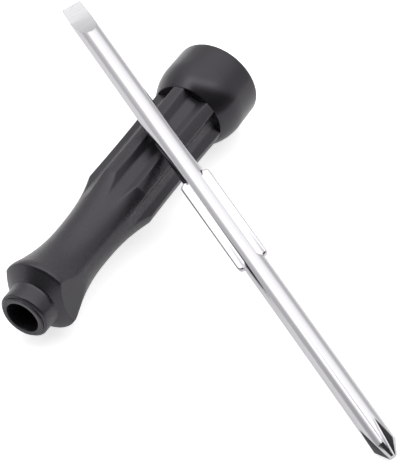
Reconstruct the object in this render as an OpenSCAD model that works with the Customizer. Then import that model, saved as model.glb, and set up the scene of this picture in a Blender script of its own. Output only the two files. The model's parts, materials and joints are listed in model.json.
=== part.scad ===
// Two-way screwdriver: a hollow fluted handle lies on the bench, and its
// double-ended blade is drawn out of it and leans across it.
// Lengths are in millimetres and angles in degrees.
// X runs along the handle from nose to cap, Z points up, and z = 0 is the bench.

/* [Blade] */
// Length of the blade from tip to tip
blade_l = 150; // [144:1:158]
// Diameter of the round shank
blade_d = 6; // [5.6:0.1:6.3]
// Length of the pressed ears at the middle of the blade
ear_l = 28.2; // [24:0.2:32]
// Width across both ears
ear_span = 8.5; // [7.8:0.1:8.8]
// How far the ears sit from the blade's middle, towards the cross tip
ear_shift = 0.5; // [0:0.1:1]
// Thickness of an ear
ear_t = 1.8; // [1.4:0.1:2.2]
// Width of the round crest left between the pressed faces
crest_w = 3.7; // [3.2:0.1:4.2]

/* [Flat tip] */
// Width of the flat tip
flat_w = 5.4; // [4.6:0.1:5.5]
// Thickness of the flat tip
flat_t = 1; // [0.8:0.1:1.3]
// Length of the parallel faces at the very tip
flat_land_l = 2.3; // [1:0.1:3.4]
// Radius of the hollow grind behind them
flat_hollow_r = 18; // [14:1:22]
// Length over which the sides are trimmed to the tip's width
flat_trim_l = 8; // [6:0.5:9]
// Turn of the flat tip from the plane of the ears
flat_turn = 12; // [0:1:20]

/* [Cross tip] */
// Length of the cone at the cross tip
cross_cone_l = 3.7; // [3.2:0.1:4.2]
// Diameter of the cone's blunt end
cross_blunt_d = 2.1; // [1.8:0.1:2.4]
// Height of the shallow point on the blunt end
cross_point_h = 0.3; // [0.2:0.1:0.4]
// Length of the four flutes
cross_flute_l = 10.8; // [8:0.2:12]
// Depth left between the axis and a flute at the very tip
cross_core_r = 0.7; // [0.4:0.05:0.8]
// Opening angle of a flute
cross_flute_angle = 100; // [90:1:104]
// Turn of the cross tip from the plane of the ears
cross_turn = -14; // [-20:1:0]

/* [Nose and guard] */
// Diameter of the collar at the nose
collar_d = 13.1; // [12.6:0.1:13.6]
// Length from the nose's face to the foot of the guard
collar_l = 5.4; // [5:0.1:6.5]
// Diameter of the guard's rim
guard_d = 20.6; // [19.6:0.1:21.6]
// Depth of the guard's sloping front face
guard_face_l = 2.3; // [2:0.1:3]
// Width of the guard's rim
guard_rim_w = 1.4; // [1.2:0.1:1.9]
// Distance from the axis to each of the two flats on the guard
guard_flat_r = 8.2; // [8:0.1:9]

/* [Grip] */
// Diameter of the waist behind the guard
waist_d = 14.5; // [13.8:0.1:14.8]
// Distance from the nose to the waist
waist_z = 26; // [24:0.5:28]
// Distance from the nose to the front of the fluted barrel
barrel_z = 44.8; // [43:0.2:47]
// Diameter over the lands at the front of the barrel
barrel_front_d = 19.1; // [18.4:0.1:19.4]
// Diameter over the lands at the middle of the barrel
barrel_mid_d = 18.9; // [18.4:0.1:19.2]
// Diameter over the lands at the cap
barrel_tail_d = 19.7; // [19:0.1:20]
// Depth of a flute's flat floor below the lands, at the front of the barrel
flute_depth = 1.7; // [1.2:0.05:1.85]
// Width of the flat floor of a flute
flute_floor_w = 2.7; // [2.2:0.1:3.2]
// Angle that one land takes of the barrel's round
land_angle = 20; // [16:1:24]

/* [Cap] */
// Largest diameter of the cap
cap_d = 24.1; // [23:0.1:24.6]
// Length of the cap
cap_l = 16.3; // [15:0.1:17]
// Length of the cap's rounded shoulder
cap_shoulder_l = 7.9; // [7:0.1:9]
// Diameter of the cap at its back rim
cap_back_d = 23.9; // [22.6:0.1:24]
// Thickness of the cap's wall behind the bore
cap_wall = 3.1; // [2.6:0.1:4]
// Diameter of the spigot that holds the cap
spigot_d = 14; // [13:0.1:14.6]
// Length of the spigot
spigot_l = 11.6; // [9:0.1:12.4]

/* [Socket] */
// Outside diameter of the keyed sleeve in the nose
sleeve_d = 11.6; // [11.2:0.1:11.8]
// How far the sleeve stands out of the collar
sleeve_proud = 0.5; // [0.3:0.1:0.8]
// Depth of the round mouth before the ear slots start
mouth_l = 8; // [5:0.5:10]
// How far inside the mouth the ears sit when the blade is home
ear_inset = 1.8; // [1.2:0.1:2.4]
// Thickness of the wire of the retaining ring
ring_wire_d = 0.9; // [0.7:0.1:1]
// Angle of the gap in the retaining ring
ring_gap = 40; // [30:1:60]

/* [Clearances] */
// Gap between pieces that are fixed to each other
fit_gap = 0.05; // [0.03:0.01:0.08]
// Gap on each side of the blade's shank in the bore
slide_gap = 0.1; // [0.08:0.01:0.14]
// Gap between the ears and the ends of their slots
ear_gap = 0.2; // [0.15:0.05:0.3]
// Gap under the blade where it lies on the lands
lay_gap = 0.15; // [0.12:0.01:0.2]

/* [Lying pose] */
// Distance from the nose to the place where the blade crosses the handle
rest_z = 60.7; // [57:0.1:64]
// Distance from the cross tip to that place, along the blade
rest_s = 105.2; // [101:0.2:108]
// Angle between blade and handle, seen from above
blade_yaw = 62.1; // [58:0.1:68]
// Roll of the blade, with the ears flat at zero
blade_roll = -25; // [-35:1:-15]
// Turn of the handle from where one flute faces the blade squarely
handle_roll = 3.5; // [0:0.5:6]

/* [Hidden] */
$fn = 96;

// Number of flutes on the barrel
flutes = 6;
// Angle from one flute to the next
flute_pitch = 360 / flutes;
// Points along one curve of the grip's outline
curve_steps = 14;
// Points along one small rounded edge
edge_steps = 4;
// One overrun for all cuts
over = 1;

// Blade
blade_r = blade_d / 2;
ear_mid = blade_l / 2 - ear_shift;
press_w = (ear_span - crest_w) / 2;
press_y = (crest_w + press_w) / 2;
flat_rise = blade_r - flat_t / 2;
flat_run = sqrt(2 * flat_hollow_r * flat_rise - flat_rise * flat_rise);
cross_lean = atan((blade_r - cross_core_r) / cross_flute_l);

// Socket, bore and the length that they give the handle
slot_t = ear_t + 2 * slide_gap;
slot_span = ear_span + 2 * ear_gap;
mouth_r = slot_span / 2;
bore_r = blade_r + slide_gap;
keyway_r = bore_r + fit_gap;
sleeve_r = sleeve_d / 2;
sleeve_l = ear_inset + ear_l;
sleeve_edge = sleeve_proud / 2;
ring_r = bore_r + fit_gap / 2 + ring_wire_d / 2;
pocket_r = ring_r + ring_wire_d / 2 + fit_gap;
pocket_l = ring_wire_d + 2 * fit_gap;
bore_z = sleeve_l + fit_gap + pocket_l;
tip_room = 5 * slide_gap;
bore_end = ear_inset + ear_l / 2 + blade_l - ear_mid + tip_room;
handle_l = bore_end + cap_wall;

// Outline of the grip
collar_r = collar_d / 2;
collar_edge = collar_r - sleeve_r - 2 * fit_gap;
guard_r = guard_d / 2;
guard_edge = guard_rim_w / 3;
guard_lean = atan((guard_r - collar_r) / guard_face_l);
rim_z = collar_l + guard_face_l;
rim_end_z = rim_z + guard_rim_w;
barrel_end_z = handle_l - cap_l;
flute_floor_r = barrel_front_d / 2 - flute_depth;
// How fast the guard runs down to the waist, and the waist up to the barrel
flare_power = 2.1;
swell_power = 2.6;

// Cap
cap_r = cap_d / 2;
cap_edge = cap_wall / 5;
spigot_r = spigot_d / 2;
spigot_end_z = barrel_end_z + spigot_l;
bead_h = spigot_r / 28;
bead_z = barrel_end_z + spigot_l / 2;
cap_front_z = barrel_end_z + fit_gap;
cap_wide_z = cap_front_z + cap_shoulder_l;
cap_relief_r = bore_r + 2 * slide_gap;

// Outlines are lists of [radius, distance from the nose].
function on_circle(centre, r, angle) = centre + r * [cos(angle), sin(angle)];
function arc(centre, r, from, to, steps) =
    [for (i = [0:steps]) on_circle(centre, r, from + (to - from) * i / steps)];
function bend(a, b, c, t) = (1 - t) * (1 - t) * a + 2 * t * (1 - t) * b + t * t * c;

// The guard runs down to the waist in a curve that is steep first.
function flare(t) = [
    waist_d / 2 + (guard_r - waist_d / 2) * pow(1 - t, flare_power),
    rim_end_z + (waist_z - rim_end_z) * t
];
// The waist swells up to the barrel and ends in a shoulder.
function swell(t) = [
    waist_d / 2 + (barrel_front_d - waist_d) / 2 * pow(t, swell_power),
    waist_z + (barrel_z - waist_z) * t
];
// The barrel is a little hollow along its length.
barrel_front = [barrel_front_d / 2, barrel_z];
barrel_tail = [barrel_tail_d / 2, barrel_end_z];
barrel_pull = [
    barrel_mid_d - (barrel_front.x + barrel_tail.x) / 2,
    (barrel_z + barrel_end_z) / 2
];

grip_outline = concat(
    [[sleeve_r + fit_gap, sleeve_proud]],
    arc([collar_r - collar_edge, sleeve_proud + collar_edge], collar_edge, -90, 0, edge_steps),
    [[collar_r, collar_l]],
    arc([guard_r - guard_edge, rim_z + guard_edge], guard_edge, -guard_lean, 0, edge_steps),
    [for (i = [0:curve_steps]) flare(i / curve_steps)],
    [for (i = [1:curve_steps]) swell(i / curve_steps)],
    [for (i = [1:curve_steps]) bend(barrel_front, barrel_pull, barrel_tail, i / curve_steps)],
    [
        [spigot_r, barrel_end_z],
        [spigot_r, bead_z - 2 * bead_h],
        [spigot_r + bead_h, bead_z],
        [spigot_r, bead_z + 2 * bead_h],
        [spigot_r, spigot_end_z - bead_h],
        [spigot_r - bead_h, spigot_end_z],
        [bore_r, spigot_end_z],
        [bore_r, bore_z],
        [pocket_r, bore_z],
        [pocket_r, sleeve_l + fit_gap],
        [sleeve_r + fit_gap, sleeve_l + fit_gap]
    ]
);

// The shoulder of the cap leaves the lands flush and bends out to the widest ring.
cap_front = [barrel_tail.x, cap_front_z];
cap_pull = [cap_r, (cap_front_z + cap_wide_z) / 2];
cap_wide = [cap_r, cap_wide_z];
cap_outline = concat(
    [[spigot_r + fit_gap, cap_front_z]],
    [for (i = [0:curve_steps]) bend(cap_front, cap_pull, cap_wide, i / curve_steps)],
    arc([cap_back_d / 2 - cap_edge, handle_l - cap_edge], cap_edge, 0, 90, edge_steps),
    [
        [0, handle_l],
        [0, bore_end],
        [cap_relief_r, bore_end],
        [cap_relief_r, spigot_end_z + fit_gap],
        [spigot_r + fit_gap, spigot_end_z + fit_gap],
        [spigot_r + fit_gap, bead_z + 2 * bead_h],
        [spigot_r + bead_h + fit_gap, bead_z],
        [spigot_r + fit_gap, bead_z - 2 * bead_h]
    ]
);

// Lying pose. The handle rests on the guard's rim and on the widest ring of the cap.
handle_tilt = atan((cap_r - guard_r) / (cap_wide_z - rim_z - guard_edge));
handle_dir = [cos(handle_tilt), 0, sin(handle_tilt)];
handle_down = [sin(handle_tilt), 0, -cos(handle_tilt)];
nose_h = guard_r * cos(handle_tilt) - (rim_z + guard_edge) * sin(handle_tilt);

// The blade touches the bench at the foot of its cone and lies on two lands.
barrel_t = (rest_z - barrel_z) / (barrel_end_z - barrel_z);
rest_r = bend(barrel_front, barrel_pull, barrel_tail, barrel_t).x;
land_edge_angle = flute_pitch / 2 - land_angle / 2 - abs(handle_roll);
rest_gap = rest_r * cos(land_edge_angle) + lay_gap + blade_r;
function blade_dir(lean) = [
    cos(lean) * cos(blade_yaw),
    cos(lean) * sin(blade_yaw),
    sin(lean)
];
function lift_dir(lean) =
    cross(handle_dir, blade_dir(lean)) / norm(cross(handle_dir, blade_dir(lean)));
function rest_point(lean) =
    [0, 0, nose_h] + rest_z * handle_dir + rest_gap * lift_dir(lean);
function tip_h(lean) = blade_r * cos(lean) - cross_cone_l * sin(lean);
function settle(lean, rounds) = rounds < 1
    ? lean
    : settle(asin((rest_point(lean).z - tip_h(lean)) / rest_s), rounds - 1);
// First guess for the lean, and the rounds in which it settles
first_lean = 12;
settle_rounds = 12;
blade_lean = settle(first_lean, settle_rounds);

// One flute faces the blade but for the roll, and the next one lies over a flat of the guard.
facing_turn = atan2(lift_dir(blade_lean).y, lift_dir(blade_lean) * handle_down);
handle_turn = facing_turn + flute_pitch + handle_roll;

// The origin lies on the bench, under the middle of the whole arrangement.
blade_turn = 180 + blade_roll;
blade_down_y = sin(blade_lean) * sin(blade_yaw);
tip_turn = blade_turn + flat_turn;
cross_end = rest_point(blade_lean) - rest_s * blade_dir(blade_lean);
flat_end = cross_end + blade_l * blade_dir(blade_lean);
blade_dir_y = blade_dir(blade_lean).y;
x_lo = -(sleeve_r - sleeve_edge) * sin(handle_tilt);
x_hi = handle_l * cos(handle_tilt) + (cap_back_d / 2 - cap_edge) * sin(handle_tilt);
y_lo = cross_end.y + cross_point_h * blade_dir_y
    - cross_blunt_d / 2 * sqrt(1 - blade_dir_y * blade_dir_y);
y_hi = flat_end.y
    + flat_w / 2 * abs(cos(tip_turn) * cos(blade_yaw) - sin(tip_turn) * blade_down_y)
    + flat_t / 2 * abs(sin(tip_turn) * cos(blade_yaw) + cos(tip_turn) * blade_down_y);
nose_at = [-(x_lo + x_hi) / 2, -(y_lo + y_hi) / 2, nose_h];
cross_at = cross_end + [nose_at.x, nose_at.y, 0];

// Handle pieces are drawn standing on the nose along Z, and then laid down.
module lay_handle() {
    translate(nose_at)
        rotate([0, 90 - handle_tilt, 0])
            rotate([0, 0, handle_turn])
                children();
}

// The blade is drawn standing on its cross tip along Z, and then leaned over.
module lay_blade() {
    translate(cross_at)
        rotate([0, 90 - blade_lean, blade_yaw])
            rotate([0, 0, blade_turn])
                children();
}

// A flat-floored flute with sloping walls, cut along the whole barrel
module flute() {
    half = flute_pitch / 2 - land_angle / 2;
    edge = [barrel_front_d / 2 * cos(half), barrel_front_d / 2 * sin(half)];
    floor = [flute_floor_r, flute_floor_w / 2];
    out = edge + (edge - floor);
    translate([0, 0, waist_z])
        linear_extrude(height = barrel_end_z + fit_gap - waist_z)
            polygon([floor, out, [out.x, -out.y], [floor.x, -floor.y]]);
}

// One flat that keeps the handle from rolling, cut off the guard
module guard_flat() {
    translate([guard_flat_r, -guard_r, collar_l])
        cube([guard_r, guard_d, waist_z - collar_l]);
}

module handle_grip() {
    color("#2b2b2f") lay_handle() difference() {
        rotate_extrude() polygon(grip_outline);
        for (i = [0:flutes - 1]) rotate([0, 0, i * flute_pitch]) flute();
        guard_flat();
        rotate([0, 0, 180]) guard_flat();
    }
}

module end_cap() {
    color("#303034") lay_handle() rotate_extrude() polygon(cap_outline);
}

// The sleeve has a round mouth and then a bore with two slots for the ears.
module socket_sleeve() {
    color("#232327") lay_handle() difference() {
        rotate_extrude() polygon(concat(
            [[0, 0]],
            arc([sleeve_r - sleeve_edge, sleeve_edge], sleeve_edge, -90, 0, edge_steps),
            [[sleeve_r, sleeve_l], [0, sleeve_l]]
        ));
        translate([0, 0, -over]) cylinder(r = mouth_r, h = mouth_l + over);
        cylinder(r = keyway_r, h = sleeve_l + over);
        translate([-slot_t / 2, -slot_span / 2, mouth_l - over])
            cube([slot_t, slot_span, sleeve_l - mouth_l + 2 * over]);
    }
}

// A split wire ring behind the sleeve springs onto the shank.
module retaining_ring() {
    color("#b8bcc2") lay_handle()
        translate([0, 0, sleeve_l + fit_gap + pocket_l / 2])
            rotate([0, 0, ring_gap / 2])
                rotate_extrude(angle = 360 - ring_gap)
                    translate([ring_r, 0]) circle(d = ring_wire_d, $fn = 32);
}

// A bar with round ends in the Y-Z plane, the outline of one pressed face
module round_bar(t) {
    cube([t, press_w, ear_l - press_w], center = true);
    for (end = [-1, 1])
        translate([0, 0, end * (ear_l - press_w) / 2])
            rotate([0, 90, 0]) cylinder(d = press_w, h = t, center = true);
}

// One hollow-ground face of the flat tip
module hollow_grind() {
    land_z = blade_l - flat_land_l;
    translate([flat_t / 2 + flat_hollow_r, 0, land_z])
        rotate([90, 0, 0])
            cylinder(r = flat_hollow_r, h = 2 * blade_d, center = true, $fn = 180);
    translate([flat_t / 2, -blade_d, land_z]) cube([blade_d, 2 * blade_d, flat_land_l + over]);
}

// One side of the flat tip, trimmed to its width
module side_trim() {
    translate([-blade_d, flat_w / 2, blade_l - flat_trim_l])
        cube([2 * blade_d, blade_d, flat_trim_l + over]);
}

// One flute of the cross tip, deepest at the very end
module cross_flute() {
    wide = blade_d * tan(cross_flute_angle / 2);
    translate([cross_core_r, 0, 0])
        rotate([0, cross_lean, 0])
            translate([0, 0, -over])
                linear_extrude(height = 2 * cross_flute_l)
                    polygon([[0, 0], [blade_d, wide], [blade_d, -wide]]);
}

module blade() {
    color("#d5d8dc") lay_blade() {
        difference() {
            rotate_extrude() polygon([
                [0, 0],
                [cross_blunt_d / 2, cross_point_h],
                [blade_r, cross_cone_l],
                [blade_r, blade_l],
                [0, blade_l]
            ]);
            for (side = [-1, 1], face = [-1, 1])
                translate([face * (ear_t + blade_d) / 2, side * press_y, ear_mid])
                    round_bar(blade_d);
            rotate([0, 0, flat_turn]) for (side = [0, 180]) rotate([0, 0, side]) {
                hollow_grind();
                side_trim();
            }
            rotate([0, 0, cross_turn + 45]) for (i = [0:3]) rotate([0, 0, 90 * i]) cross_flute();
        }
        for (side = [-1, 1]) translate([0, side * press_y, ear_mid]) round_bar(ear_t);
    }
}

handle_grip();
end_cap();
socket_sleeve();
retaining_ring();
blade();
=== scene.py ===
# %% [markdown]
# # A two-way screwdriver, dressed in Blender
# The tool lies on a white bench. Its black handle is fluted and hollow, and its
# chromed blade is drawn out and leans across it, with a cross tip down at the
# front and a flat tip up at the back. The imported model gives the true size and
# place of every piece. This lesson models the pieces again with the small
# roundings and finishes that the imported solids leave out.

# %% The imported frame
import json
import math
import bpy
from mathutils import Matrix, Quaternion, Vector


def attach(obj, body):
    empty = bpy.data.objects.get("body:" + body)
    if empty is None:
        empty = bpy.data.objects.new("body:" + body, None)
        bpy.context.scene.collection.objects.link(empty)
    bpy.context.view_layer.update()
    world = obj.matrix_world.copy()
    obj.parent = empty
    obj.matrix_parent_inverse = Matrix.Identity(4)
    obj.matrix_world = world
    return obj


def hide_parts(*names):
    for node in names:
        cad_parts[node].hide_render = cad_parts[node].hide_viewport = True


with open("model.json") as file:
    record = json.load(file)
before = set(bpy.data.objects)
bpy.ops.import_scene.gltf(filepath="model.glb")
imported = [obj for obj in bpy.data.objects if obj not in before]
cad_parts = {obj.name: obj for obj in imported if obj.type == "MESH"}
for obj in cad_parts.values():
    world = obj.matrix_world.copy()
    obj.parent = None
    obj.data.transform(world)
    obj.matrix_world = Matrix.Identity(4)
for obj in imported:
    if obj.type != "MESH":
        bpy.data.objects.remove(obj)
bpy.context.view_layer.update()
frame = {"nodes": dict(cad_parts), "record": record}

MM = 0.001
print("packed nodes:", ", ".join(frame["nodes"]))

# %% [markdown]
# ## Where the two parts lie
# The record names a mount on each axis: the ear socket lies 8 mm behind the face
# of the handle's nose, and the cross tip's mount is the very end of the blade.
# So a handle or blade can be modelled standing on the origin along Z, which
# keeps its numbers simple, and one matrix then lays it down where the packed
# solid is. The two turns say how each is rolled about its own axis, in degrees.

# %% The two axes
MOUTH_DEEP = 8.0
HANDLE_TURN, BLADE_TURN = -104.049, 155.0


def mount(name):
    found = next(m for m in frame["record"]["mounts"] if m["name"] == name)
    return Vector(found["pos_m"]), Vector(found["axis"]).normalized()


def laid_down(start, along, turn):
    """The matrix that takes a piece from standing on the origin to its place."""
    lean = math.asin(along.z)
    yaw = math.atan2(along.y, along.x)
    return (
        Matrix.Translation(start)
        @ Matrix.Rotation(yaw, 4, 'Z')
        @ Matrix.Rotation(math.pi / 2 - lean, 4, 'Y')
        @ Matrix.Rotation(math.radians(turn), 4, 'Z')
        @ Matrix.Scale(MM, 4)
    )


socket_at, socket_axis = mount("ear_socket")
cross_at, cross_axis = mount("cross_tip")
nose_at = socket_at + socket_axis * MOUTH_DEEP * MM
HANDLE_PLACE = laid_down(nose_at, -socket_axis, HANDLE_TURN)
BLADE_PLACE = laid_down(cross_at, -cross_axis, BLADE_TURN)
print("nose at", [round(v / MM, 2) for v in nose_at], "mm")
print("cross tip at", [round(v / MM, 2) for v in cross_at], "mm")

# %% [markdown]
# ## Camera
# The photograph was taken from the nose's side, about half a metre away and well
# above the bench. Where the tips, the nose and the cap fall in it gives the
# camera's place, which is written here in millimetres from the point of the
# bench that lies under the nose. A long lens keeps the near tip from growing,
# and the camera is held a fifth of a degree out of level.

# %% Camera
EYE_FROM_NOSE = (-276.7, -209.9, 400.8)
AIM_FROM_NOSE = (54.3, -17.8, 0)
LENS, SENSOR, NEAREST = 169.03, 36, 0.01
OUT_OF_LEVEL = -0.2


def stood(name, thing, place, target, out_of_level=0.0):
    """Stands a camera or lamp at a place and points it at a target."""
    stand = bpy.data.objects.new(name, thing)
    bpy.context.collection.objects.link(stand)
    stand.location = place
    looking = (Vector(target) - Vector(place)).to_track_quat('-Z', 'Y')
    roll = Quaternion((0, 0, 1), math.radians(out_of_level))
    stand.rotation_euler = (looking @ roll).to_euler()
    return stand


bench_point = Vector((nose_at.x, nose_at.y, 0))
eye = bench_point + Vector(EYE_FROM_NOSE) * MM
aim = bench_point + Vector(AIM_FROM_NOSE) * MM
camera = bpy.data.cameras.new("camera")
camera.sensor_fit = 'VERTICAL'
camera.sensor_height = SENSOR
camera.lens = LENS
camera.clip_start = NEAREST
bpy.context.scene.camera = stood("camera", camera, eye, aim, OUT_OF_LEVEL)
print("camera", round((aim - eye).length / MM), "mm away")

# %% [markdown]
# ## Shader maths as plain expressions
# A finish is easier to read as `0.4 + 0.1 * grain` than as a dozen linked nodes.
# `Wire` wraps one output socket and turns arithmetic on it into Math nodes.

# %% Wires
class Wire:
    """One output socket, with Python's arithmetic on it."""

    def __init__(self, socket):
        self.socket = socket

    def math(self, operation, *values):
        node = self.socket.node.id_data.nodes.new('ShaderNodeMath')
        node.operation = operation
        for entry, value in zip(node.inputs, values):
            feed(entry, value)
        return Wire(node.outputs[0])

    def __add__(self, other):
        return self.math('ADD', self, other)

    def __rsub__(self, other):
        return self.math('SUBTRACT', other, self)

    def __mul__(self, other):
        return self.math('MULTIPLY', self, other)

    __radd__ = __add__
    __rmul__ = __mul__


def feed(entry, value):
    """Links a wire to a socket, or sets a plain number, colour or vector on it."""
    if isinstance(value, Wire):
        entry.id_data.links.new(value.socket, entry)
    elif entry.type == 'RGBA':
        entry.default_value = (*value, 1)
    else:
        entry.default_value = value


print("wires can be added, multiplied and taken from a number")

# %% [markdown]
# ## One builder for every finish
# `Finish` starts a material or world, and its method `node` adds any node: it
# takes the node's type, its settings and its sockets' values. The mix, the
# noise and the mesh's attribute come up in every finish, so they have a short
# form. A Mix node has a pair of sockets for each kind of data, all with the same
# names, so the pair for colours goes by number.

# %% Finishes
MIX_FACTOR, MIX_FROM, MIX_TO, MIX_RESULT = 0, 6, 7, 2


class Finish:
    """A material, or the world, built from one node tree."""

    def __init__(self, name, home=None):
        self.home = home or bpy.data.materials.new(name)
        self.home.use_nodes = True
        self.tree = self.home.node_tree
        self.tree.nodes.clear()

    def node(self, kind, settings=None, sockets=None, out=0):
        node = self.tree.nodes.new('ShaderNode' + kind)
        for key, value in (settings or {}).items():
            if key == "stops":
                ramp = node.color_ramp.elements
                while len(ramp) < len(value):
                    ramp.new(1)
                for stop, (place, shade) in zip(ramp, value):
                    stop.position = place
                    stop.color = (shade, shade, shade, 1)
            else:
                setattr(node, key, value)
        for key, value in (sockets or {}).items():
            feed(node.inputs[key], value)
        return Wire(node.outputs[out]) if node.outputs else node

    def mix(self, factor, colour, other):
        return self.node('Mix', {"data_type": 'RGBA'}, {
            MIX_FACTOR: factor, MIX_FROM: colour, MIX_TO: other,
        }, out=MIX_RESULT)

    def noise(self, place, scale, detail):
        return self.node('TexNoise', sockets={
            "Vector": place, "Scale": scale, "Detail": detail,
        })

    def marked(self, attribute):
        return self.node('Attribute', {"attribute_name": attribute}, out="Fac")

    def show(self, surface, kind='OutputMaterial'):
        self.node(kind, sockets={"Surface": surface})
        print("finish:", self.home.name, "with", len(self.tree.nodes), "nodes")
        return self.home


def shaded(colour, level):
    """A colour made darker or lighter."""
    return tuple(level * part for part in colour)


print("half of a mid grey:", shaded((0.5, 0.5, 0.5), 0.5))

# %% [markdown]
# ## Light
# Black plastic and chrome show mostly what they mirror, so the room matters more
# than any lamp. The photograph's chrome gives the room away. The walls are dull
# low down and the ceiling is bright. The side behind the camera is unlit,
# except for a wall at its left. A bright strip runs along the edge of the unlit
# part, and it draws the crescent on the cap.
# The world is that room, written as rules on the direction that a ray takes.
# Seen by the camera itself the room is plain white, like the bench.

# %% Rules on a direction
RISES, FALLS = (0, 1), (1, 0)
room = Finish("room", bpy.data.worlds.new("room"))
direction = room.node('TexCoord', out="Generated")


def towards(*way):
    """How far a direction leans one way, from -1 to 1."""
    return room.node('VectorMath', {"operation": 'DOT_PRODUCT'}, {
        0: direction, 1: Vector(way).normalized(),
    }, out="Value")


def ease(value, span, levels):
    """Runs softly from one level to another while a value crosses a span."""
    return room.node('MapRange', {"interpolation_type": 'SMOOTHSTEP'}, {
        0: value, 1: span[0], 2: span[1], 3: levels[0], 4: levels[1],
    })


height = towards(0, 0, 1)
beyond = towards(0.866, 0.156, 0.476)
leftward = towards(1, 1, 0)
print("three directions steer the room's light: up, beyond the tool and left")

# %% The room
WALL_LEVELS = [
    (0.0, 0.62), (0.36, 0.61), (0.54, 0.69), (0.64, 0.92), (0.78, 1.0), (1.0, 1.0),
]
CEILING_EDGE, CEILING_LEVELS = (0.6, 0.95), (1.0, 1.3)
STRIP_START, STRIP_END, STRIP_TOP = (0.37, 0.47), (0.5, 0.62), (0.7, 0.92)
LEFT_WALL_EDGE, LEFT_WALL_TOP = (-0.26, 0.1), (0.88, 0.97)
UNLIT_EDGE, UNLIT_LEVELS = (0.24, 0.44), (0.95, 0)
UNLIT_FOOT, FOOT_LEVELS = (0.05, 0.4), (0.75, 1)
ROOM_LIGHT = 1.25

walls = room.node('ValToRGB', {"stops": WALL_LEVELS}, {0: height})
ceiling = ease(height, CEILING_EDGE, CEILING_LEVELS)
strip = (
    ease(beyond, STRIP_START, RISES)
    * ease(beyond, STRIP_END, FALLS)
    * ease(height, STRIP_TOP, RISES)
)
left_wall = ease(leftward, LEFT_WALL_EDGE, RISES) * ease(height, LEFT_WALL_TOP, FALLS)
unlit = ease(beyond, UNLIT_EDGE, UNLIT_LEVELS) * (1 - left_wall)
dark = unlit * ease(height, UNLIT_FOOT, FOOT_LEVELS)
glow = (walls * ceiling + strip) * (1 - dark)
seen = room.node('LightPath', out="Is Camera Ray")
sky = room.node('Background', sockets={
    "Color": (1, 1, 1), "Strength": glow * ROOM_LIGHT * (1 - seen) + seen,
})
room.show(sky, 'OutputWorld')
bpy.context.scene.world = room.home
bpy.context.scene.view_settings.view_transform = 'Standard'

# %% [markdown]
# ## Lamp and bench
# One broad lamp stands high at the back and helps the room to light the tool.
# The bench is a sheet of white paper. In the photograph it is as white as the
# page, which no lit paper quite is, so it also glows a little where the camera
# sees it. What the tool mirrors of it glows less, or the chrome would be flat.

# %% Lamp
LAMP_AT, LAMP_SIZE, LAMP_WATTS = (-0.28, 0.50, 0.95), (0.55, 0.40), 0.55

lamp = bpy.data.lights.new("back_lamp", 'AREA')
lamp.shape = 'RECTANGLE'
lamp.size, lamp.size_y = LAMP_SIZE
lamp.energy = LAMP_WATTS
stood("back_lamp", lamp, LAMP_AT, (0, 0, 0))
print("lamp:", LAMP_WATTS, "W at", LAMP_AT)

# %% Bench
BENCH_ACROSS, PAPER = 4, (0.90, 0.90, 0.90)
SEEN_GLOW, MIRRORED_GLOW = 0.7, 0.27

bpy.ops.object.select_all(action='DESELECT')
bpy.ops.mesh.primitive_plane_add(size=BENCH_ACROSS)
bench = bpy.context.object
bench.name = "bench"
white = Finish("white_bench")
seen = white.node('LightPath', out="Is Camera Ray")
mirrored = white.node('LightPath', out="Is Glossy Ray")
paper = white.node('BsdfDiffuse', sockets={"Color": PAPER})
lift = white.node('Emission', sockets={
    "Color": (1, 1, 1), "Strength": seen * SEEN_GLOW + mirrored * MIRRORED_GLOW,
})
surface = white.node('AddShader', sockets={0: paper, 1: lift})
bench.data.materials.append(white.show(surface))

# %% [markdown]
# ## Black moulded plastic
# The handle is a satin black with a fine spark-eroded grain. The lands are
# rubbed a little smoother than the floors of the flutes, so roughness and grain
# follow a `floor` attribute that the grip's mesh carries. One floor is a panel
# with a raised stipple, and a `panel` attribute marks it. The patterns read
# Object coordinates, in metres, so a grain of a quarter of a millimetre has a
# scale of about four thousand.

# %% Black plastic
CLOUD_ROUGH, RUBBED_ROUGH, FLOOR_ROUGH = 0.08, 0.05, 0.07
DARKER, LIGHTER = 0.88, 1.12
STIPPLE_EDGES, STIPPLE_DEPTH = [(0.44, 0.0), (0.56, 1.0)], 13.0
RELIEF_STRENGTH, RELIEF_DEPTH = 0.35, 0.02 * MM
SHEEN = (0.93, 0.88, 1.0)


def black_plastic(name, base, rough, grain_depth, ior, floors=False):
    finish = Finish(name)
    place = finish.node('TexCoord', out="Object")
    cloud = finish.noise(place, scale=90.0, detail=3.0)
    grain = finish.noise(place, scale=3800.0, detail=2.0)
    rubbed = finish.noise(place, scale=520.0, detail=4.0)
    tint = finish.mix(cloud, shaded(base, DARKER), shaded(base, LIGHTER))
    roughness = rough + CLOUD_ROUGH * cloud + RUBBED_ROUGH * rubbed
    relief = grain * grain_depth
    if floors:
        floor = finish.marked("floor")
        specks = finish.noise(place, scale=1500.0, detail=1.0)
        stipple = finish.node('ValToRGB', {"stops": STIPPLE_EDGES}, {0: specks})
        stipple = STIPPLE_DEPTH * stipple * finish.marked("panel")
        roughness = roughness + FLOOR_ROUGH * floor
        relief = relief + grain * floor * grain_depth + stipple
    bump = finish.node('Bump', sockets={
        "Strength": RELIEF_STRENGTH, "Distance": RELIEF_DEPTH, "Height": relief,
    })
    return finish.show(finish.node('BsdfPrincipled', sockets={
        "Base Color": tint, "Roughness": roughness, "Normal": bump,
        "IOR": ior, "Specular Tint": SHEEN,
    }))


BLACK, DEEP_BLACK = (0.016, 0.015, 0.017), (0.014, 0.013, 0.015)
grip_black = black_plastic(
    "grip_black", BLACK, rough=0.21, grain_depth=0.6, ior=1.6, floors=True)
cap_black = black_plastic(
    "cap_black", BLACK, rough=0.16, grain_depth=0.8, ior=1.53)
sleeve_black = black_plastic(
    "sleeve_black", DEEP_BLACK, rough=0.21, grain_depth=0.8, ior=1.55)

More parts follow.
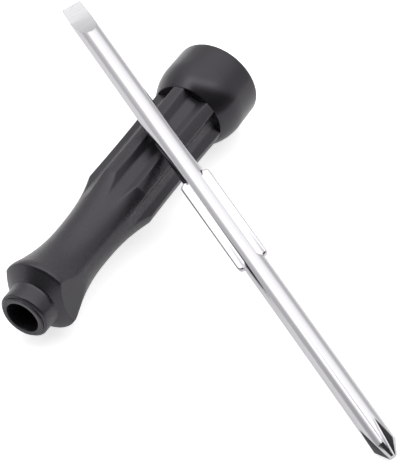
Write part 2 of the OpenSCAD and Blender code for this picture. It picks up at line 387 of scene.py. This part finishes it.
# %% [markdown]
# ## Chrome and steel
# Bright chrome is nearly a mirror. What keeps it from looking like glass is a
# trace of the drawn rod under the plating, so its roughness wanders a little.
# The faces of the flat tip are ground after plating. A `ground` attribute on the
# blade's mesh marks them, and they are paler and more satin.

# %% Chrome and spring steel
CHROME, GROUND_STEEL = (0.59, 0.58, 0.605), (0.61, 0.605, 0.62)
WIRE_STEEL = (0.55, 0.56, 0.58)
CLOUD_TINT, GROUND_TINT, GROUND_ROUGH = 0.97, 0.9, 0.3
DRAWN_STRENGTH, DRAWN_DEPTH = 0.1, 0.004 * MM


def plated(name, base, rough, drift, ground=None):
    finish = Finish(name)
    place = finish.node('TexCoord', out="Object")
    cloud = finish.noise(place, scale=160.0, detail=4.0)
    fine = finish.noise(place, scale=2400.0, detail=2.0)
    tint = finish.mix(cloud, shaded(base, CLOUD_TINT), base)
    roughness = rough + drift * cloud + drift * fine
    if ground:
        bare = finish.marked("ground")
        worn = finish.mix(fine, shaded(ground, GROUND_TINT), ground)
        tint = finish.mix(bare, tint, worn)
        roughness = roughness + GROUND_ROUGH * bare
    bump = finish.node('Bump', sockets={
        "Strength": DRAWN_STRENGTH, "Distance": DRAWN_DEPTH, "Height": fine,
    })
    return finish.show(finish.node('BsdfPrincipled', sockets={
        "Base Color": tint, "Roughness": roughness, "Metallic": 1.0, "Normal": bump,
    }))


chrome = plated("bright_chrome", CHROME, rough=0.09, drift=0.06, ground=GROUND_STEEL)
spring = plated("spring_steel", WIRE_STEEL, rough=0.24, drift=0.10)

# %% [markdown]
# ## Turned outlines
# Grip, cap and sleeve are round about one axis. On a lathe, or in a mould, such
# a form is an outline turned round, and here it is the same: a point is extruded
# from step to step along the outline and the line is then spun. Each operator
# works on all that is selected, so `only` first picks out the one piece. A spin
# hands its points back in another order each time, and a cut or bevel that
# follows would come out a little differently. So they are sorted, by how far
# they lie from one odd point, and every run gives the same mesh.

# %% One piece at a time
SMOOTH_UNDER = 35


def deselect():
    if bpy.context.object and bpy.context.object.mode == 'EDIT':
        bpy.ops.object.mode_set(mode='OBJECT')
    bpy.ops.object.select_all(action='DESELECT')


def only(piece):
    """Selects one piece and nothing else."""
    deselect()
    piece.select_set(True)
    bpy.context.view_layer.objects.active = piece
    return piece


def apply_place(piece):
    """Puts a piece's place, turn and size into its mesh."""
    only(piece)
    bpy.ops.object.transform_apply(location=True, rotation=True, scale=True)
    return piece


def lay(piece, place):
    """Lays a finished piece down where it belongs, and shades it."""
    only(piece).matrix_world = place
    apply_place(piece)
    bpy.ops.object.shade_smooth_by_angle(angle=math.radians(SMOOTH_UNDER))
    return piece


print("edges under", SMOOTH_UNDER, "degrees are shaded smooth")

# %% Outline and spin
WELD = 0.0005
ODD_POINT = (-59.7, -1.37, 73.91)


def put_in_order():
    """Sorts what is selected in edit mode by its distance from the odd point."""
    bpy.context.scene.cursor.location = ODD_POINT
    bpy.ops.mesh.sort_elements(
        type='CURSOR_DISTANCE', elements={'VERT', 'EDGE', 'FACE'})
    bpy.context.scene.cursor.location = (0, 0, 0)


def turned(name, outline, steps):
    """Draws an outline of (radius, height) in the X-Z plane and spins it about Z."""
    deselect()
    radius, height = outline[0]
    bpy.ops.mesh.primitive_plane_add(size=1, location=(0, 0, 0))
    piece = bpy.context.object
    piece.name = piece.data.name = name
    bpy.ops.object.mode_set(mode='EDIT')
    bpy.ops.mesh.select_all(action='SELECT')
    bpy.ops.mesh.merge(type='CENTER')
    bpy.ops.transform.translate(value=(radius, 0, height))
    for radius_to, height_to in outline[1:]:
        bpy.ops.mesh.extrude_region_move(TRANSFORM_OT_translate={
            "value": (radius_to - radius, 0, height_to - height),
        })
        radius, height = radius_to, height_to
    bpy.ops.mesh.select_all(action='SELECT')
    bpy.ops.mesh.spin(steps=steps, angle=math.tau, center=(0, 0, 0), axis=(0, 0, 1))
    bpy.ops.mesh.select_all(action='SELECT')
    bpy.ops.mesh.remove_doubles(threshold=WELD)
    bpy.ops.mesh.normals_make_consistent(inside=False)
    put_in_order()
    bpy.ops.object.mode_set(mode='OBJECT')
    print(name, "turned:", len(piece.data.vertices), "points")
    return piece


print("points closer than", WELD, "mm are welded")

# %% Curves for outlines
def arc(centre, radius, start, end, steps):
    turns = [math.radians(start + (end - start) * i / steps) for i in range(steps + 1)]
    return [
        (centre[0] + radius * math.cos(t), centre[1] + radius * math.sin(t))
        for t in turns
    ]


def bend(a, b, c, steps):
    """A curve from a to c that is drawn towards b on the way."""
    shares = [i / steps for i in range(steps + 1)]
    return [
        tuple((1 - t) ** 2 * p + 2 * t * (1 - t) * q + t * t * s
              for p, q, s in zip(a, b, c))
        for t in shares
    ]


def run(a, b, steps):
    """Even steps from a to b, without a itself."""
    return [
        tuple(p + (q - p) * i / steps for p, q in zip(a, b))
        for i in range(1, steps + 1)
    ]


def beside(point, *offsets):
    """Points that lie a little out and back from a given one."""
    return [(point[0] + out, point[1] + back) for out, back in offsets]


print("a run in two steps:", run((0, 0), (1, 4), 2))

# %% [markdown]
# ## Soft corners by a rule
# Two forms that meet in a corner can be written as the lower of two radii. The
# soft minimum does the same, but it leaves a rounding of a given size where the
# two are nearly equal. That is how most corners of the grip are rounded here.

# %% Soft minimum
def soft_min(a, b, soft):
    """The lower of two values, rounded where they are nearly equal."""
    mix = max(soft - abs(a - b), 0) / soft
    return min(a, b) - mix * mix * soft / 4


def soft_max(a, b, soft):
    return -soft_min(-a, -b, soft)


print("at a corner of 9 and 9, rounded by 0.4:", soft_min(9, 9, 0.4))

# %% [markdown]
# ## Grip: the turned form
# From the nose back the outline has the collar, the guard with its rim, a slim
# waist and the barrel, which is a little hollow along its length. Behind the
# barrel a spigot carries the cap. The bore comes back along the inside, so the
# outline closes on itself. All sizes are millimetres and heights are measured
# from the face of the nose.

# %% Sizes of the grip
SLEEVE_R, SLEEVE_PROUD, SLEEVE_L = 5.8, 0.5, 30.0
COLLAR_R, COLLAR_L = 6.55, 5.4
GUARD_R, RIM_Z, RIM_END_Z, RIM_EDGE = 10.3, 7.7, 9.1, 0.45
WAIST_R, WAIST_Z = 7.25, 26.0
BARREL_Z, BARREL_END_Z, BARREL_EDGE = 44.8, 78.7, 0.12
FRONT_R, MID_R, TAIL_R = 9.55, 9.45, 9.85
SPIGOT_R, SPIGOT_END_Z, SPIGOT_EDGE = 7.0, 90.3, 0.25
BORE_R, BORE_Z, POCKET_R, HANDLE_L = 3.1, 31.05, 4.075, 95.0
GAP = 0.05
FLARE_POWER, SWELL_POWER = 2.1, 2.6
SHOULDER_Z, SHOULDER_SOFT = WAIST_Z + 9, 0.12


def barrel_radius(z):
    t = (z - BARREL_Z) / (BARREL_END_Z - BARREL_Z)
    pull = 2 * MID_R - (FRONT_R + TAIL_R) / 2
    return (1 - t) ** 2 * FRONT_R + 2 * t * (1 - t) * pull + t * t * TAIL_R


def grip_radius(z):
    """Flare, waist, swell and barrel as one radius with a soft shoulder."""
    if z < WAIST_Z:
        flare = 1 - (z - RIM_END_Z) / (WAIST_Z - RIM_END_Z)
        return WAIST_R + (GUARD_R - WAIST_R) * flare ** FLARE_POWER
    grown = (z - WAIST_Z) / (BARREL_Z - WAIST_Z)
    swell = WAIST_R + (FRONT_R - WAIST_R) * grown ** SWELL_POWER
    if z <= SHOULDER_Z:
        return swell
    return soft_min(swell, barrel_radius(z), SHOULDER_SOFT)


print("waist", 2 * grip_radius(WAIST_Z), "mm, barrel", 2 * MID_R, "mm thick")

# %% Outline of the grip
face_lean = math.degrees(math.atan2(GUARD_R - COLLAR_R, RIM_Z - COLLAR_L))
collar_edge = COLLAR_R - SLEEVE_R - 2 * GAP
ring_heights = (
    [RIM_END_Z + 0.35 * i for i in range(1, 24)]
    + [17.6 + 0.8 * i for i in range(33)]
    + [43.6 + 0.2 * i for i in range(14)]
    + [47.0 + 1.5 * i for i in range(20)]
    + [76.6, 77.7, 78.4]
)
collar_start = (COLLAR_R, SLEEVE_PROUD + collar_edge)
collar_end, collar_foot, face_foot = beside(
    (COLLAR_R, COLLAR_L), (0, -0.15), (0.06, -0.03), (0.2, 0.1))
face_end = (GUARD_R - 0.62, RIM_Z - 0.25)
nose_outline = (
    [(SLEEVE_R + GAP, SLEEVE_PROUD)]
    + arc((COLLAR_R - collar_edge, collar_start[1]), collar_edge, -90, 0, steps=6)
    + run(collar_start, collar_end, steps=4)
    + [collar_foot, face_foot]
    + run(face_foot, face_end, steps=22)
    + arc((GUARD_R - RIM_EDGE, RIM_Z + RIM_EDGE), RIM_EDGE, 4 - face_lean, 0, steps=7)
    + beside((GUARD_R, RIM_END_Z), (0, -0.3), (-0.04, -0.05), (-0.14, 0.15))
)
spigot_outline = [
    (SPIGOT_R, BARREL_END_Z), (SPIGOT_R, SPIGOT_END_Z - SPIGOT_EDGE),
    (SPIGOT_R - SPIGOT_EDGE, SPIGOT_END_Z),
]
inside_outline = [
    (BORE_R, SPIGOT_END_Z), (BORE_R, BORE_Z),
    (POCKET_R, BORE_Z), (POCKET_R, SLEEVE_L + GAP),
    (SLEEVE_R + GAP, SLEEVE_L + GAP), (SLEEVE_R + GAP, SLEEVE_PROUD),
]
grip_outline = (
    nose_outline
    + [(grip_radius(z), z) for z in ring_heights]
    + arc((TAIL_R - BARREL_EDGE, BARREL_END_Z - BARREL_EDGE), BARREL_EDGE,
          0, 90, steps=3)
    + spigot_outline
    + inside_outline
)
print("grip outline:", len(grip_outline), "points,", HANDLE_L, "mm handle")

# %% [markdown]
# ## Grip: flutes and flats
# Six flutes are let into the barrel. Each has a flat floor and two sloping
# walls, and it fades out on the waist, where the round falls below its floor. A
# Boolean cut would leave a knife edge all along and a bevel has nothing to hold
# where the flute fades. So each point of the turned form is drawn in instead, to
# the floor or wall that lies lower than the round, with a soft minimum between
# them. That gives every edge its small moulded radius, and the same rule lets
# the two flats into the guard. The columns are first gathered near the edges,
# where the rounding needs them: each pair in `COLUMNS` is an even step and the
# angle from the flute's middle that it moves to.

# %% Form of a flute
FLOOR_R, FLOOR_HALF_W, LAND_EDGE = 7.85, 1.35, math.radians(20)
PITCH = math.radians(60)
WALL_SOFT, STEEPEST = 0.22, 0.05
COLUMNS = [(0, 0), (5, 8.0), (14, 11.6), (20, 18.3), (29, 22.0), (40, 30)]
wall_slope = (
    (FRONT_R * math.sin(LAND_EDGE) - FLOOR_HALF_W)
    / (FRONT_R * math.cos(LAND_EDGE) - FLOOR_R)
)


def gathered(turn):
    """Moves an even column so that more of them lie at the flute's edges."""
    step = abs(turn) / (PITCH / 2) * COLUMNS[-1][0]
    for (s0, a0), (s1, a1) in zip(COLUMNS, COLUMNS[1:]):
        if step <= s1 + 1e-6:
            angle = math.radians(a0 + (a1 - a0) * (step - s0) / (s1 - s0))
            return math.copysign(angle, turn)
    return turn


def flute_radius(turn):
    """How far out the flute's floor or wall lies, at an angle from its middle."""
    floor = FLOOR_R / math.cos(turn)
    spread = wall_slope * math.cos(turn) - math.sin(abs(turn))
    wall = (FLOOR_R * wall_slope - FLOOR_HALF_W) / max(spread, STEEPEST)
    return soft_max(floor, wall, WALL_SOFT)


print("a flute is", round(FRONT_R - flute_radius(0), 2), "mm deep in its middle")

# %% Pressing in the flutes
FLAT_R, FLAT_SOFT, FLUTE_SOFT = 8.2, 0.3, 0.26
FLUTED_R, INSIDE_R, FLAT_FACING = WAIST_R - 0.05, 6.2, 0.5
FLOOR_DEEP = 0.8
PANEL_Z, PANEL_END_Z = 39.0, 76.5


def press(point):
    """Draws one point of the turned grip in to the flutes and flats."""
    radius = math.hypot(point.x, point.y)
    around = math.atan2(point.y, point.x)
    middle = round(around / PITCH) * PITCH
    turn = gathered(around - middle)
    around = middle + turn
    across = abs(math.cos(around))
    pressed = radius
    if point.z > WAIST_Z and radius > FLUTED_R:
        pressed = soft_min(radius, flute_radius(turn), FLUTE_SOFT)
    if COLLAR_L < point.z < WAIST_Z and radius > INSIDE_R and across > FLAT_FACING:
        pressed = soft_min(radius, FLAT_R / across, FLAT_SOFT)
    floor = max(0.0, min(1.0, (radius - pressed) / FLOOR_DEEP))
    place = (pressed * math.cos(around), pressed * math.sin(around), point.z)
    return Vector(place), floor


def on_panel(point):
    """Whether a pressed point lies on the floor that carries the stipple."""
    in_flute = point.x > WAIST_R and abs(point.y) < FLOOR_HALF_W
    return in_flute and PANEL_Z < point.z < PANEL_END_Z


grip = turned("grip", grip_outline, steps=480)
floors = grip.data.attributes.new("floor", 'FLOAT', 'POINT')
panel = grip.data.attributes.new("panel", 'FLOAT', 'POINT')
for vertex in grip.data.vertices:
    vertex.co, floors.data[vertex.index].value = press(vertex.co)
    panel.data[vertex.index].value = float(on_panel(vertex.co))
lay(grip, HANDLE_PLACE)
grip.data.materials.append(grip_black)
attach(grip, "handle")
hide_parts("handle_grip")
print("grip:", len(grip.data.polygons), "faces")

# %% [markdown]
# ## End cap
# The cap is a smooth bell that leaves the lands flush and bends out to its
# widest ring. Its back rim is rounded and its back is dished a little, as a
# moulded cap is, because the middle sinks as it cools. Inside, it fits over the
# spigot, and the blind end of the bore is in it.

# %% End cap
CAP_R, CAP_WIDE_Z, CAP_BACK_R, CAP_RIM, BORE_END = 12.05, 86.65, 11.95, 1.1, 91.9
BACK_DISH = [(0, 0.3), (4.0, 0.28), (8.0, 0.16), (9.6, 0.05)]
END_BORE_R = BORE_R + 0.2

cap_front = (TAIL_R, BARREL_END_Z + GAP)
cap_wide = (CAP_R, CAP_WIDE_Z)
cap_pull = (CAP_R, (cap_front[1] + CAP_WIDE_Z) / 2)
cap_outline = (
    [(radius, HANDLE_L - deep) for radius, deep in BACK_DISH]
    + arc((CAP_BACK_R - CAP_RIM, HANDLE_L - CAP_RIM), CAP_RIM, 90, 0, steps=9)
    + run((CAP_BACK_R, HANDLE_L - CAP_RIM), cap_wide, steps=6)
    + bend(cap_wide, cap_pull, cap_front, steps=26)[1:-1]
    + beside(cap_front, (0.02, 0.06), (-0.05, 0))
    + [(SPIGOT_R + GAP, cap_front[1]), (SPIGOT_R + GAP, SPIGOT_END_Z + GAP)]
    + [(END_BORE_R, SPIGOT_END_Z + GAP), (END_BORE_R, BORE_END), (0, BORE_END)]
)
cap = lay(turned("cap", cap_outline, steps=192), HANDLE_PLACE)
cap.data.materials.append(cap_black)
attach(cap, "handle")
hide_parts("end_cap")
print("cap:", len(cap.data.polygons), "faces")

# %% [markdown]
# ## Cutting with solids
# The keyway and the blade's tips are made as a toolroom makes them, by taking
# material away. A cutter is a primitive, shaped in edit mode, and a Boolean
# modifier takes it out of the piece. `picked` selects points by a rule on their
# place, which stands in for clicking on them.

# %% Cutters
def picked(piece, rule):
    """Leaves a piece in edit mode with the points selected that follow a rule."""
    bpy.ops.object.mode_set(mode='EDIT')
    bpy.ops.mesh.select_all(action='DESELECT')
    bpy.ops.object.mode_set(mode='OBJECT')
    for vertex in piece.data.vertices:
        vertex.select = rule(vertex.co)
    bpy.ops.object.mode_set(mode='EDIT')
    bpy.ops.mesh.select_mode(type='VERT')


def moved(piece, rule, way):
    """Moves the points of a piece that follow a rule on their place."""
    picked(piece, rule)
    bpy.ops.transform.translate(value=way)
    bpy.ops.object.mode_set(mode='OBJECT')


def block(low, high):
    """A cube primitive that fills a box."""
    deselect()
    bpy.ops.mesh.primitive_cube_add(
        size=1,
        location=[(a + b) / 2 for a, b in zip(low, high)],
        scale=[b - a for a, b in zip(low, high)],
    )
    return apply_place(bpy.context.object)


def turn_piece(piece, degrees, axis='Z'):
    turn = Matrix.Rotation(math.radians(degrees), 4, axis)
    piece.matrix_world = turn @ piece.matrix_world
    return apply_place(piece)


print("cutters can be picked, moved and turned")

# %% Modifiers
def finish_modifier(piece, kind, **settings):
    only(piece)
    modifier = piece.modifiers.new(kind.lower(), kind)
    for key, value in settings.items():
        setattr(modifier, key, value)
    bpy.ops.object.modifier_apply(modifier=modifier.name)


def bevel(piece, width, segments, over):
    """Rounds every edge that bends by more than an angle in degrees."""
    finish_modifier(piece, 'BEVEL', width=width, segments=segments,
                    limit_method='ANGLE', angle_limit=math.radians(over))


def combine(piece, tool, operation='DIFFERENCE'):
    """Cuts a tool out of a piece, or joins it in, and clears the tool away."""
    finish_modifier(piece, 'BOOLEAN', operation=operation, object=tool, solver='EXACT')
    mesh = tool.data
    bpy.data.objects.remove(tool)
    bpy.data.meshes.remove(mesh)


print("two modifiers are used: Bevel and Boolean")

# %% [markdown]
# ## Keyed sleeve
# The ring at the mouth stands half a millimetre proud of the collar. It is the
# end of a long sleeve with a round mouth, and behind the mouth two slots that
# take the blade's ears and keep it from turning.

# %% Keyed sleeve
MOUTH_R, MOUTH_EDGE, SLEEVE_EDGE = 4.45, 0.18, 0.25
KEYWAY_R, KEYWAY_HALF_W = 3.15, 1.0

sleeve_outline = (
    [(MOUTH_R + MOUTH_EDGE, 0.0)]
    + arc((SLEEVE_R - SLEEVE_EDGE, SLEEVE_EDGE), SLEEVE_EDGE, -90, 0, steps=5)
    + [(SLEEVE_R, SLEEVE_L), (KEYWAY_R, SLEEVE_L), (KEYWAY_R, MOUTH_DEEP)]
    + [(MOUTH_R, MOUTH_DEEP), (MOUTH_R, MOUTH_EDGE)]
    + beside((MOUTH_R, 0.0), (0.06, 0.05), (MOUTH_EDGE, 0.0))
)
sleeve = turned("sleeve", sleeve_outline, steps=96)
combine(sleeve, block(
    (-KEYWAY_HALF_W, -MOUTH_R, MOUTH_DEEP - 1),
    (KEYWAY_HALF_W, MOUTH_R, SLEEVE_L + 1),
))
lay(sleeve, HANDLE_PLACE)
sleeve.data.materials.append(sleeve_black)
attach(sleeve, "handle")
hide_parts("socket_sleeve")
print("sleeve:", len(sleeve.data.polygons), "faces")

# %% [markdown]
# ## Blade: the rod and its ears
# The blade is one drawn rod. A press squeezes it at the middle from both sides,
# which leaves two flat ears and a round crest between the pressed faces. Here a
# long bar with round ends takes the rod away above and below, and a thin bar of
# the same outline is then joined in as the ear. Its rim is rolled over, as the
# press leaves it, and that rim is what draws the ear's thin dark line. The rod
# has rings along its length, because one long face would carry the shading of a
# cut corner from one end of the tool to the other.

# %% Rod
BLADE_L, BLADE_R = 150.0, 3.0
CONE_L, BLUNT_R, POINT_H = 3.7, 1.05, 0.3
ROD_RINGS = (
    4.2, 5.5, 8.0, 11.6, 12.4, 35.0, 58.5, 60.0, 89.0, 90.5, 115.0, 138.0, 140.0,
)

rod_outline = (
    [(0, 0), (BLUNT_R, POINT_H), (BLADE_R, CONE_L)]
    + [(BLADE_R, z) for z in ROD_RINGS]
    + [(BLADE_R, BLADE_L), (0, BLADE_L)]
)
blade = turned("blade", rod_outline, steps=96)
print("rod:", BLADE_L, "mm long and", 2 * BLADE_R, "mm thick")

# %% Ears
EAR_L, EAR_MID, EAR_SPAN, EAR_T, EAR_EDGE, CREST_W = 28.2, 74.5, 8.5, 1.8, 0.48, 3.7
PRESS_W = (EAR_SPAN - CREST_W) / 2
PRESS_Y = (CREST_W + PRESS_W) / 2
PRESS_REACH, PRESS_GROW, NEAR = 4, 0.02, 0.01
SIDES = (-1, 1)


def round_bar(side, x_low, x_high, grow):
    """A bar with round ends that stands along Z, beside the rod's middle."""
    deselect()
    bpy.ops.mesh.primitive_cylinder_add(
        vertices=48, radius=PRESS_W / 2 + grow, depth=x_high - x_low,
        location=((x_low + x_high) / 2, side * PRESS_Y, EAR_MID),
        rotation=(0, math.pi / 2, 0),
    )
    bar = apply_place(bpy.context.object)
    stretch = (EAR_L - PRESS_W) / 2
    for way in SIDES:
        moved(bar, lambda co: (co.z - EAR_MID) * way > NEAR, (0, 0, way * stretch))
    return bar


for side in SIDES:
    above = round_bar(side, EAR_T / 2 - NEAR, PRESS_REACH, PRESS_GROW)
    combine(blade, above)
    below = round_bar(side, -PRESS_REACH, NEAR - EAR_T / 2, PRESS_GROW)
    combine(blade, below)
for side in SIDES:
    ear = round_bar(side, -EAR_T / 2, EAR_T / 2, 0)
    bevel(ear, EAR_EDGE, segments=6, over=60)
    combine(blade, ear, 'UNION')
print("rod with ears:", len(blade.data.polygons), "faces")

# %% [markdown]
# ## Blade: the flat tip
# The flat tip is ground hollow by a wheel on each face, so the cutter is a disc
# of the wheel's size, with a block for the short parallel end. A leaned block
# then trims each side to the width of the tip.

# %% Flat tip
FLAT_W, FLAT_T, FLAT_LAND, FLAT_TURN = 5.4, 1.0, 2.3, 12.0
HOLLOW_R, WHEEL_W = 18.0, 12
TRIM_L, TRIM_LEAN = 8.0, 0.32
REACH, PAST_END = 6, BLADE_L + 1

for side in (0, 180):
    turn = side + FLAT_TURN
    deselect()
    bpy.ops.mesh.primitive_cylinder_add(
        vertices=240, radius=HOLLOW_R, depth=WHEEL_W,
        location=(FLAT_T / 2 + HOLLOW_R, 0, BLADE_L - FLAT_LAND),
        rotation=(math.pi / 2, 0, 0),
    )
    wheel = apply_place(bpy.context.object)
    combine(blade, turn_piece(wheel, turn))
    end = block((FLAT_T / 2, -REACH, BLADE_L - FLAT_LAND), (REACH, REACH, PAST_END))
    combine(blade, turn_piece(end, turn))
    trim = block((-REACH, FLAT_W / 2, BLADE_L - TRIM_L), (REACH, REACH, PAST_END))
    moved(trim, lambda co: co.z < BLADE_L - 1 and co.y < BLADE_R, (0, TRIM_LEAN, 0))
    combine(blade, turn_piece(trim, turn))
print("flat tip:", len(blade.data.polygons), "faces so far")

# %% [markdown]
# ## Blade: the cross tip
# The cross tip has four tapered flutes. Their cutter is a three-sided prism with
# a softened edge, leaned so that it runs out of the rod where the flute ends. It
# is made afresh for each flute, because the cut uses it up.

# %% Cross tip
FLUTE_L, CORE_R, FLUTE_ANGLE, FLUTE_SOFTNESS = 10.8, 0.7, 100.0, 0.36
CROSS_TURN, CUTTER_L = -14.0, 24.0
flute_lean = math.degrees(math.atan2(BLADE_R - CORE_R, FLUTE_L))


def flute_cutter():
    deselect()
    bpy.ops.mesh.primitive_cylinder_add(vertices=3, radius=1, depth=CUTTER_L)
    cutter = bpy.context.object
    edge_x = max(cutter.data.vertices, key=lambda v: v.co.y).co.x
    wide = REACH * math.tan(math.radians(FLUTE_ANGLE / 2))
    for vertex in cutter.data.vertices:
        at_edge = abs(vertex.co.x - edge_x) < NEAR
        side = 0 if at_edge else math.copysign(wide, vertex.co.x)
        along = vertex.co.z + CUTTER_L / 2 - 1
        vertex.co = Vector((0 if at_edge else REACH, side, along))
    picked(cutter, lambda co: co.x < NEAR)
    bpy.ops.mesh.select_mode(type='EDGE')
    bpy.ops.mesh.bevel(offset=FLUTE_SOFTNESS, segments=6, affect='EDGES')
    bpy.ops.mesh.select_all(action='SELECT')
    bpy.ops.mesh.normals_make_consistent(inside=False)
    bpy.ops.object.mode_set(mode='OBJECT')
    turn_piece(cutter, flute_lean, 'Y')
    moved(cutter, lambda co: True, (CORE_R, 0, 0))
    return cutter


for quarter in range(4):
    combine(blade, turn_piece(flute_cutter(), CROSS_TURN + 45 + 90 * quarter))
print("cross tip:", len(blade.data.polygons), "faces so far")

# %% [markdown]
# ## Blade: broken edges and ground faces
# A small bevel breaks every sharp edge, as tumbling does before plating. The
# faces that the wheel left are square to its way in and lie inside the rod's
# round, so by these two signs they are marked for the ground finish.

# %% Edges and ground faces
EDGE_BREAK, ROUND_SKIN = 0.13, 0.12
GROUND_Z, FACES_WHEEL = BLADE_L - 14, 0.75
flat_turn = math.radians(FLAT_TURN)
wheel_way = Vector((math.cos(flat_turn), math.sin(flat_turn), 0))

bevel(blade, EDGE_BREAK, segments=3, over=24)
ground = blade.data.attributes.new("ground", 'FLOAT', 'FACE')
for face in blade.data.polygons:
    off_axis = math.hypot(face.center.x, face.center.y)
    faces_wheel = abs(face.normal.dot(wheel_way)) > FACES_WHEEL
    inside_round = off_axis < BLADE_R - ROUND_SKIN
    on_tip = face.center.z > GROUND_Z
    ground.data[face.index].value = float(on_tip and inside_round and faces_wheel)
lay(blade, BLADE_PLACE)
blade.data.materials.append(chrome)
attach(blade, "blade")
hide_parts("blade")
print("blade:", len(blade.data.polygons), "faces")

# %% [markdown]
# ## Retaining ring
# The split wire ring sits in its groove behind the sleeve, where only a look
# down the bore finds it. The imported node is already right, so it stays, and
# takes a drawn steel finish.

# %% Retaining ring
ring = frame["nodes"]["retaining_ring"]
for place in ring.material_slots:
    place.material = spring
print("ring:", len(ring.data.polygons), "packed faces")
